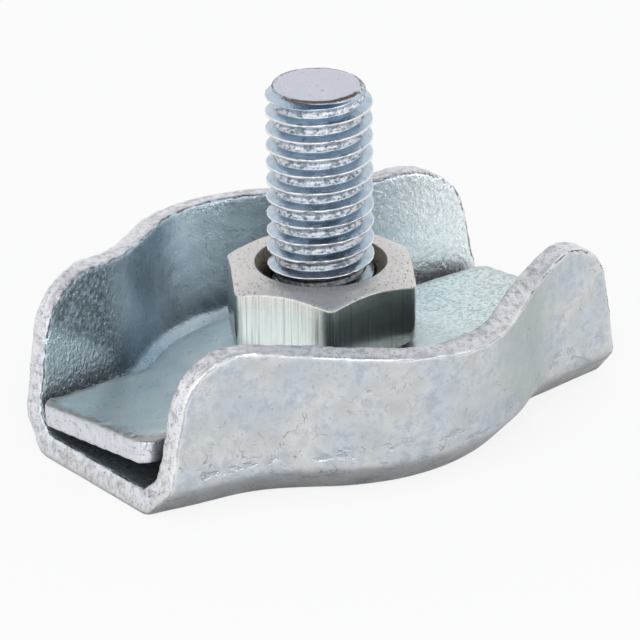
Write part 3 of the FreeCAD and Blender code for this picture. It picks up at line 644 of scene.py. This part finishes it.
def bodyRegions(points, facing, look):
    # cut faces have no sideways slope, apart from the floor and the pressed pocket
    x, y, z = points.T
    level = (np.abs(facing[:, 2]) > look["levelFrom"]) & (z < look["floorTop"])
    pocket = (np.abs(x) < look["pocketReach"]) & (z < look["pocketTop"])
    cut = (np.abs(facing[:, 1]) < look["cutSideways"]) & ~level & ~pocket
    inner = np.where(z > look["wallFrom"], facing[:, 1] * y < 0, facing[:, 2] > 0)
    # more slope past the middle of the front wall
    slope = smoothStep(look["bulgeReach"] - np.abs(x), 0, look["bulgeFade"])
    slope *= facing[:, 2] > look["rimUpward"]
    wideFrom, wideTo = look["wideFrom"], look["wideTo"]
    wide = smoothStep(x, *wideFrom) * smoothStep(wideTo[1] - x, 0, wideTo[1] - wideTo[0]) * (y < 0)
    slope *= look["cutSlope"] + wide * look["wideCutSlope"]
    return cut.astype(float), inner.astype(float), slope, None


def makeChannel():
    piece = sheetPiece("channelBody", "clip_body", bodyLook, bodyRegions)
    piece.data.materials.append(sheetZinc("channelZinc", bodyLook))
    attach(piece, "channel")
    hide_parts("clip_body")


# Clamping plate

plateLook = {
    "voxel": 0.12, "settling": 40, "easing": 6, "maskBlur": 3,
    # the end that faces -X was sheared off and is worn most
    "edgeTilt": 0.75, "wornLeast": 0.3, "wornFrom": (11, 13.5), "bandReach": 40, "bandLump": 0.1,
    "tornScale": 1.0, "tornDepth": 0.014, "pitScale": 2.5, "pitDepth": 0.02, "burrHeight": 0.02,
    "hammerScale": 1.0, "hammerDepth": 0.008, "waveScale": 0.25, "waveDepth": 0.03,
    "mottle": (0.3, 6, 0.62, 0.30, 0.70), "outerCool": (0.54, 0.63, 0.66), "outerWarm": (0.64, 0.70, 0.70),
    "smudge": (0.6, 5, 0.7, 0.48, 0.72), "smudgeShare": 0.2, "smudgeTone": (0.40, 0.43, 0.45),
    "innerCool": (0.49, 0.58, 0.61), "innerWarm": (0.58, 0.64, 0.65),
    "innerFarLit": (0.82, 0.92, 0.93), "farFrom": (2.5, 7.5),
    "farFine": (4.0, 3, 0.55, 0.46, 0.62), "farFineShare": 0.6, "farDull": (0.36, 0.47, 0.49),
    "markScale": 1.2, "markWidth": 0.012, "markPatch": 0.5, "markLow": 0.0,
    "markShare": 0.3, "markTone": (0.22, 0.22, 0.23), "markDepth": 0.1,
    "cutPale": (0.76, 0.77, 0.82), "cutDull": (0.62, 0.63, 0.66),
    "rimHighlightTone": (0.80, 0.80, 0.81), "wornTone": (0.36, 0.34, 0.32),
    "lineShare": 0.25, "lineTone": (0.20, 0.19, 0.18),
    "speckScale": 2.2, "speckStretch": (0.7, 1.6, 1), "speckFrom": 0.68,
    "farSpeckScale": 5.0, "farSpeckFrom": 0.58, "cutSpecks": (3.4, 4, 0.7, 0.57, 0.65),
    "speckShare": 0.6, "cutSpeckShare": 0.5, "speckTone": (0.14, 0.15, 0.16),
    "outerRough": 0.33, "innerRough": 0.31, "cutRough": 0.40,
    "grainScale": 8.0, "dimpleScale": 4.6, "beatenRight": (3.5, 6.0),
    "outerGrain": 0.3, "innerGrain": 0.3, "innerDimple": 4.5, "cutGrain": 0.5, "bumpDepth": 0.05,
    "metallic": 0.85,
}


def plateRegions(points, facing, look):
    cut = np.abs(facing[:, 2]) < look["edgeTilt"]
    least = look["wornLeast"]
    worn = least + (1 - least) * smoothStep(-points[:, 0], *look["wornFrom"])
    return cut.astype(float), (facing[:, 2] > 0).astype(float), None, worn


def makePlate():
    piece = sheetPiece("clampPlate", "pressure_plate", plateLook, plateRegions)
    piece.data.materials.append(sheetZinc("plateZinc", plateLook))
    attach(piece, "plate")
    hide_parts("pressure_plate")


# Bolt

boltLook = {
    "columns": 176, "endChamfer": 0.5, "headHeight": 1.1, "headFlats": 8.4, "headCorner": 0.15,
    "headRound": 0.12, "headLip": 0.03, "neck": 0.3, "neckEase": 0.05, "runOut": 2.5, "runOutSlope": 1.2,
    "discRings": (0.02, 0.7, 1.4, 1.9, 2.2), "discEdge": 0.1, "headDisc": (3.0, 1.5, 0.02),
    "crestFrom": 0.2, "nickScale": 2.4, "nickFrom": (0.1, 0.6), "nickDepth": 0.035,
    "roughScale": 3.0, "roughDepth": 0.006, "endRimScale": 1.1, "endRimDepth": 0.05,
    "endShift": (-0.05, 0.13),      # the end was cut and chamfered a little off the axis
    # how far inside the end's radius or below its height an effect sets in and is full
    "shiftBelow": (0.5, 0.05), "endRimIn": (0.25, 0.05), "endRimBelow": (0.2, 0.02),
    "endBelow": (0.04, 0.01), "scorchIn": (0.12, 0.04), "scorchBelow": (0.16, 0.08),
    # in the finish, distances inward from the outer radius tell crest and root
    "crestIn": (0.08, 0.02), "rootIn": (0.43, 0.51), "shankFrom": (1.25, 1.55),
    "stain": (1.1, 4, 0.55, 0.35, 0.65), "pale": (0.50, 0.59, 0.68), "deep": (0.40, 0.49, 0.59),
    # the worn tone paints the crests lighter, a painted highlight along each crest
    "worn": (0.80, 0.81, 0.82),
    "glints": (3.6, 4, 0.6, 0.40, 0.54), "glintStretch": (1, 1, 1.6),
    "rootGlint": (0.92, 0.94, 0.98), "rootDark": (0.28, 0.35, 0.42),
    "endTone": (0.74, 0.75, 0.85), "dull": (0.14, 0.11, 0.09),
    "wanderScale": 1.3, "wander": 0.16, "scorch": (0.9, 5, 0.55, 0.36, 0.50),
    "specks": (3.4, 3, 0.55, 0.66, 0.71), "speckShare": 0.5,
    "roughness": 0.20, "rootRoughness": 0.36, "endRoughness": 0.34,
    "grainScale": 9.0, "grain": (0.15, 0.9), "coarseScale": 4.5, "coarse": (0.12, 1.9), "bumpDepth": 0.05,
}


def threadZinc(name, look, top, endRadius):
    # radius tells crest from root, height tells the cut end
    material, tree, place = startFinish(name)
    height = axesOf(tree, place)[2]
    radius, flat = fromAxis(tree, place)
    inward = minus(tree, threadLook["boltRadius"], radius)
    onShank = between(tree, height, *look["shankFrom"])     # the head has neither crest nor root
    crest = times(tree, between(tree, inward, *look["crestIn"]), onShank)
    root = times(tree, between(tree, inward, *look["rootIn"]), onShank)
    end = between(tree, height, *below(top, look["endBelow"]))

    tone = blendTone(tree, patches(tree, place, look["stain"]), look["pale"], look["deep"])
    # painted highlight: the crests take the lighter worn tone
    tone = blendTone(tree, crest, tone, look["worn"])
    # painted glints: the thread's root is speckled between a dark tone and near white
    glints = patches(tree, place, look["glints"], look["glintStretch"])
    tone = blendTone(tree, root, tone, blendTone(tree, glints, look["rootDark"], look["rootGlint"]))
    tone = blendTone(tree, end, tone, look["endTone"])
    # a dark burnt line wanders along the end's edge
    centred = vectorMaths(tree, "SUBTRACT", flat, (*look["endShift"], 0))[0]
    fromEnd = addNode(tree, "ShaderNodeVectorMath", {"operation": "LENGTH"}, {0: centred}).outputs[1]
    wander = times(tree, noiseOf(tree, place, look["wanderScale"], 4), look["wander"])
    fromEnd = plus(tree, fromEnd, minus(tree, wander, look["wander"] / 2))
    scorch = times(tree, between(tree, fromEnd, *below(endRadius, look["scorchIn"])),
                   between(tree, height, *below(top, look["scorchBelow"])),
                   patches(tree, place, look["scorch"]))
    tone = blendTone(tree, scorch, tone, look["dull"])
    specks = times(tree, patches(tree, place, look["specks"]), look["speckShare"])
    tone = blendTone(tree, specks, tone, look["dull"])

    roughness = blendValue(tree, root, look["roughness"], look["rootRoughness"])
    roughness = blendValue(tree, end, roughness, look["endRoughness"])
    grain = times(tree, noiseOf(tree, place, look["grainScale"]), blendValue(tree, root, *look["grain"]))
    coarse = times(tree, noiseOf(tree, place, look["coarseScale"], 4, 0.65),
                   blendValue(tree, root, *look["coarse"]))
    endFinish(tree, tone, roughness, plus(tree, grain, coarse), look["bumpDepth"])
    return material


def headRings(look, whole, angles, low, seat, neck):
    # from the neck over the hexagonal head to the middle of its underside
    runOut, lip, soft, ease = look["runOut"], look["headLip"], look["headRound"], look["neckEase"]
    hexagon = hexRadius(angles, look["headFlats"], look["headCorner"])
    rings = [
        (runOut * whole, neck), (runOut * whole, seat + ease), ((runOut + ease) * whole, seat),
        (hexagon - soft, seat), (hexagon - lip, seat - lip), (hexagon, seat - soft),
        (hexagon, low + soft), (hexagon - lip, low + lip), (hexagon - soft, low),
    ]
    return rings + [(radius * whole, low) for radius in look["headDisc"]]


def makeBolt():
    look = boltLook
    low, high = (corner[2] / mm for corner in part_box("clamp_bolt"))
    angles = np.arange(look["columns"]) * 360 / look["columns"]
    whole = np.ones(len(angles))
    seat = low + look["headHeight"]
    neck = seat + look["neck"]
    runOut = look["runOut"]
    outerRadius = threadLook["boltRadius"]
    endRadius = outerRadius - look["endChamfer"]
    profile = boltProfile()

    def cutBack(heights, radii):
        chamfer = endRadius + (high - heights)
        return np.minimum(np.minimum(radii, chamfer), runOut + (heights - neck) * look["runOutSlope"])

    helix = threadRows(angles, ((neck, runOut), (high, endRadius)), profile, cutBack)
    discRadii = (*look["discRings"], endRadius - look["discEdge"], endRadius)
    disc = [(radius * whole, high) for radius in discRadii]
    head = headRings(look, whole, angles, low, seat, neck)
    mesh = turnedMesh("threadedBolt", angles, [disc, head], helix, len(profile[0]))
    points, normals = readVectors(mesh, "co"), readVectors(mesh, "normal")
    radius, height = np.hypot(points[:, 0], points[:, 1]), points[:, 2]
    crest = smoothStep(radius, outerRadius - look["crestFrom"], outerRadius)
    crest = np.where(height > neck, crest, 0)
    nicks = smoothStep(waves(points, look["nickScale"], "nicks"), *look["nickFrom"]) * look["nickDepth"]
    rough = waves(points, look["roughScale"], "threadRough") * look["roughDepth"]
    rimBand = smoothStep(radius, *below(endRadius, look["endRimIn"]))
    rimBand *= smoothStep(height, *below(high, look["endRimBelow"]))
    ragged = np.abs(waves(points, look["endRimScale"], "endRim")) * look["endRimDepth"] * rimBand
    points = points + normals * (rough - crest * nicks - ragged)[:, None]
    nearEnd = smoothStep(points[:, 2], *below(high, look["shiftBelow"]))
    points[:, :2] += nearEnd[:, None] * np.array(look["endShift"])
    points[:, 2] = np.clip(points[:, 2], low, high)
    writePoints(mesh, points * mm)
    piece = addObject("threadedBolt", mesh)
    piece.data.materials.append(threadZinc("boltZinc", look, high, endRadius))
    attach(piece, "channel")
    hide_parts("clamp_bolt")


# Nut

nutLook = {
    "columns": 240, "flats": 10.0, "faceRadius": 4.6, "corner": 0.7, "mouthRadius": 3.65,
    "turn": -1.3, "chamferAngle": 30.0, "bevel": 0.05, "mouthLip": 0.04, "faceRing": 0.05,
    "faceDrop": 0.03, "chamferRings": (0.35, 0.7), "sideRings": (0.25, 0.5, 0.75),
    "waveScale": 1.6, "waveDepth": 0.012, "dentScale": 2.6, "dentFrom": (0.3, 0.6), "dentDepth": 0.02,
    "faceFrom": (0.35, 0.6), "boreIn": (-0.06, 0.02),       # the bore starts near the mouth's radius
    "streaks": (1.0, 4, 0.7, 0.46, 0.66), "streakStretch": (8.0, 8.0, 0.12),
    "flatTone": (0.80, 0.81, 0.76), "streakTone": (0.52, 0.54, 0.50), "faceTone": (0.73, 0.71, 0.70),
    "stain": (0.9, 5, 0.55, 0.4, 0.7), "stainShare": 0.3, "stainTone": (0.72, 0.70, 0.66),
    "boreTone": (0.24, 0.23, 0.19), "speckTone": (0.16, 0.15, 0.14),
    "specks": (6.0, 3, 0.55, 0.58, 0.66), "speckPatch": (0.7, 3, 0.55, 0.25, 0.5),
    "speckShare": (0.05, 0.7), "pitDepth": 0.4,
    "flatRough": 0.22, "faceRough": 0.44, "boreRough": 0.45,
    "brushScale": 1.0, "brushStretch": (6.0, 6.0, 0.2), "brushDepth": 0.12,
    "grainScale": 6.0, "grainDepth": 0.8, "bumpDepth": 0.04,
}


def nutZinc(name, look):
    # brushed flats, speckled faces, dark bore
    material, tree, place = startFinish(name)
    upward = maths(tree, "ABSOLUTE", facingOf(tree)[2])
    face = between(tree, upward, *look["faceFrom"])
    bore = between(tree, fromAxis(tree, place)[0], *below(look["mouthRadius"], look["boreIn"]))
    streaks = patches(tree, place, look["streaks"], look["streakStretch"])
    tone = blendTone(tree, streaks, look["flatTone"], look["streakTone"])
    tone = blendTone(tree, face, tone, look["faceTone"])
    stain = times(tree, patches(tree, place, look["stain"]), look["stainShare"])
    tone = blendTone(tree, stain, tone, look["stainTone"])
    tone = blendTone(tree, bore, tone, look["boreTone"])
    specks = times(tree, patches(tree, place, look["specks"]), patches(tree, place, look["speckPatch"]))
    speckShare = times(tree, specks, blendValue(tree, face, *look["speckShare"]))
    tone = blendTone(tree, speckShare, tone, look["speckTone"])
    roughness = blendValue(tree, face, look["flatRough"], look["faceRough"])
    roughness = blendValue(tree, bore, roughness, look["boreRough"])
    brush = noiseOf(tree, place, look["brushScale"], 3, 0.6, look["brushStretch"])
    grain = noiseOf(tree, place, look["grainScale"])
    height = blendValue(tree, face, times(tree, brush, look["brushDepth"]),
                        times(tree, grain, look["grainDepth"]))
    height = minus(tree, height, times(tree, specks, face, look["pitDepth"]))
    endFinish(tree, tone, roughness, height, look["bumpDepth"])
    return material


def nutRings(look, whole, hexagon, low, high):
    # the outside from the upper mouth down to the lower one
    mouth, face, bevel, ring = (look[key] for key in ("mouthRadius", "faceRadius", "bevel", "faceRing"))
    drop = (hexagon - face) * math.tan(math.radians(look["chamferAngle"]))
    top = [(radius * whole, high) for radius in (mouth, mouth + look["mouthLip"], (mouth + face) / 2,
                                                 face - ring)]
    top += [((face + ring) * whole, high - look["faceDrop"])]
    top += [(face + (hexagon - face) * share, high - drop * share) for share in look["chamferRings"]]
    top += [(hexagon - bevel, high - drop + bevel * 0.5),
            (hexagon - bevel * 0.2, high - drop - bevel * 0.4), (hexagon, high - drop - bevel * 1.6)]
    sides = [(hexagon, high - drop + (2 * drop - high + low) * share) for share in look["sideRings"]]
    bottom = [(radii, low + high - height) for radii, height in reversed(top)]
    return top + sides + bottom


def makeNut():
    look = nutLook
    low, high = (corner[2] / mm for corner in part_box("hex_nut"))
    angles = np.arange(look["columns"]) * 360 / look["columns"]
    hexagon = hexRadius(angles, look["flats"], look["corner"])
    mouth = look["mouthRadius"]
    profile = nutProfile()

    def openOut(heights, radii):
        depth = np.minimum(high - heights, heights - low)
        return np.maximum(radii, mouth - depth)

    # the mesh is made with its corners on X, so the thread is turned the other way first
    helix = threadRows(angles + look["turn"], ((low, mouth), (high, mouth)), profile, openOut)
    rings = nutRings(look, np.ones(len(angles)), hexagon, low, high)
    mesh = turnedMesh("hexNut", angles, [rings], helix, len(profile[0]))
    points, normals = readVectors(mesh, "co"), readVectors(mesh, "normal")
    dents = smoothStep(waves(points, look["dentScale"], "nutDents"), *look["dentFrom"]) * look["dentDepth"]
    wear = waves(points, look["waveScale"], "nutWave") * look["waveDepth"] - dents
    points = points + normals * wear[:, None]
    turn = math.radians(look["turn"])
    spin = np.array([[math.cos(turn), -math.sin(turn), 0], [math.sin(turn), math.cos(turn), 0],
                     [0, 0, 1]])
    writePoints(mesh, (points @ spin.T) * mm)
    piece = addObject("hexNut", mesh)
    piece.data.materials.append(nutZinc("nutZinc", look))
    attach(piece, "nut")
    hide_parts("hex_nut")


# Camera

cameraLook = {
    "azimuth": -36.28, "elevation": 23.95, "roll": 0.78,
    "distance": 383.7, "slideRight": -0.0929, "slideUp": 5.0869, "lens": 389.0,
    "sensor": 36, "sightFrom": 20, "sightTo": 20000,
}


def addCamera():
    look = cameraLook
    a, e, roll = (math.radians(look[key]) for key in ("azimuth", "elevation", "roll"))
    back = Vector((math.sin(a) * math.cos(e), -math.cos(a) * math.cos(e), math.sin(e)))
    side = Vector((math.cos(a), math.sin(a), 0))
    up = back.cross(side)
    place = back * look["distance"] + side * look["slideRight"] + up * look["slideUp"]
    right = side * math.cos(roll) - up * math.sin(roll)
    top = side * math.sin(roll) + up * math.cos(roll)
    camera = addObject("camera", bpy.data.cameras.new("camera"))
    turn = Matrix((right, top, back)).transposed().to_4x4()
    camera.matrix_world = Matrix.Translation(place * mm) @ turn
    camera.data.lens = look["lens"]
    camera.data.sensor_width = look["sensor"]
    camera.data.clip_start = look["sightFrom"] * mm
    camera.data.clip_end = look["sightTo"] * mm
    bpy.context.scene.camera = camera
    print("camera set")


# Light: a white room that is darker right overhead, with three large soft lamps

lightLook = {
    "roomTone": (1.0, 1.0, 1.0), "overheadTone": (0.10, 0.14, 0.20),
    "overheadFrom": (0.66, 0.95), "roomStrength": 1.0,
    "floorHalf": 3000, "floorTone": (0.92, 0.92, 0.92), "floorWhite": 0.84, "floorWhiteInMetal": 0.45,
}
lamps = [
    {"name": "softLeft", "place": (-520, -40, 240), "size": 260, "power": 0.35},
    {"name": "softFront", "place": (-310, -390, 340), "size": 300, "power": 0.85},
    {"name": "softRight", "place": (172, -529, 225), "size": 240, "power": 0.4},
]


def lightRoom():
    scene = bpy.context.scene
    scene.view_settings.view_transform = "Standard"
    world = bpy.data.worlds.new("paleRoom")
    scene.world = world
    world.use_nodes = True
    tree = world.node_tree
    tree.nodes.clear()
    rise = axesOf(tree, addNode(tree, "ShaderNodeTexCoord").outputs["Generated"])[2]
    overhead = between(tree, rise, *lightLook["overheadFrom"])
    tone = blendTone(tree, overhead, lightLook["roomTone"], lightLook["overheadTone"])
    glow = addNode(tree, "ShaderNodeBackground", None,
                   {"Color": tone, "Strength": lightLook["roomStrength"]})
    addNode(tree, "ShaderNodeOutputWorld", None, {"Surface": glow.outputs[0]})
    for lamp in lamps:
        light = addObject(lamp["name"], bpy.data.lights.new(lamp["name"], "AREA"))
        light.data.size = lamp["size"] * mm
        light.data.energy = lamp["power"]
        light.location = Vector(lamp["place"]) * mm
        light.rotation_euler = (-light.location).to_track_quat("-Z", "Y").to_euler()
    print("light set")


def layFloor():
    mesh = bpy.data.meshes.new("floor")
    half = lightLook["floorHalf"] * mm
    corners = [(-half, -half, 0), (half, -half, 0), (half, half, 0), (-half, half, 0)]
    mesh.from_pydata(corners, [], [(0, 1, 2, 3)])
    floor = addObject("floor", mesh)
    # seen straight or in metal the floor is mostly white, and the rest keeps the soft shadow
    material = bpy.data.materials.new("paleFloor")
    material.use_nodes = True
    tree = material.node_tree
    tree.nodes.clear()
    matt = addNode(tree, "ShaderNodeBsdfDiffuse", None, {"Color": (*lightLook["floorTone"], 1)})
    white = addNode(tree, "ShaderNodeEmission", None, {"Color": (1, 1, 1, 1), "Strength": 1.0})
    path = addNode(tree, "ShaderNodeLightPath").outputs
    inMetal = maths(tree, "MAXIMUM", path["Is Glossy Ray"], path["Is Transmission Ray"])
    share = maths(tree, "MAXIMUM", times(tree, path["Is Camera Ray"], lightLook["floorWhite"]),
                  times(tree, inMetal, lightLook["floorWhiteInMetal"]))
    mixed = addNode(tree, "ShaderNodeMixShader", None,
                    {0: share, 1: matt.outputs[0], 2: white.outputs[0]})
    addNode(tree, "ShaderNodeOutputMaterial", None, {"Surface": mixed.outputs[0]})
    mesh.materials.append(material)
    print("floor laid")


addCamera()
lightRoom()
layFloor()
makeChannel()
makePlate()
makeBolt()
makeNut()
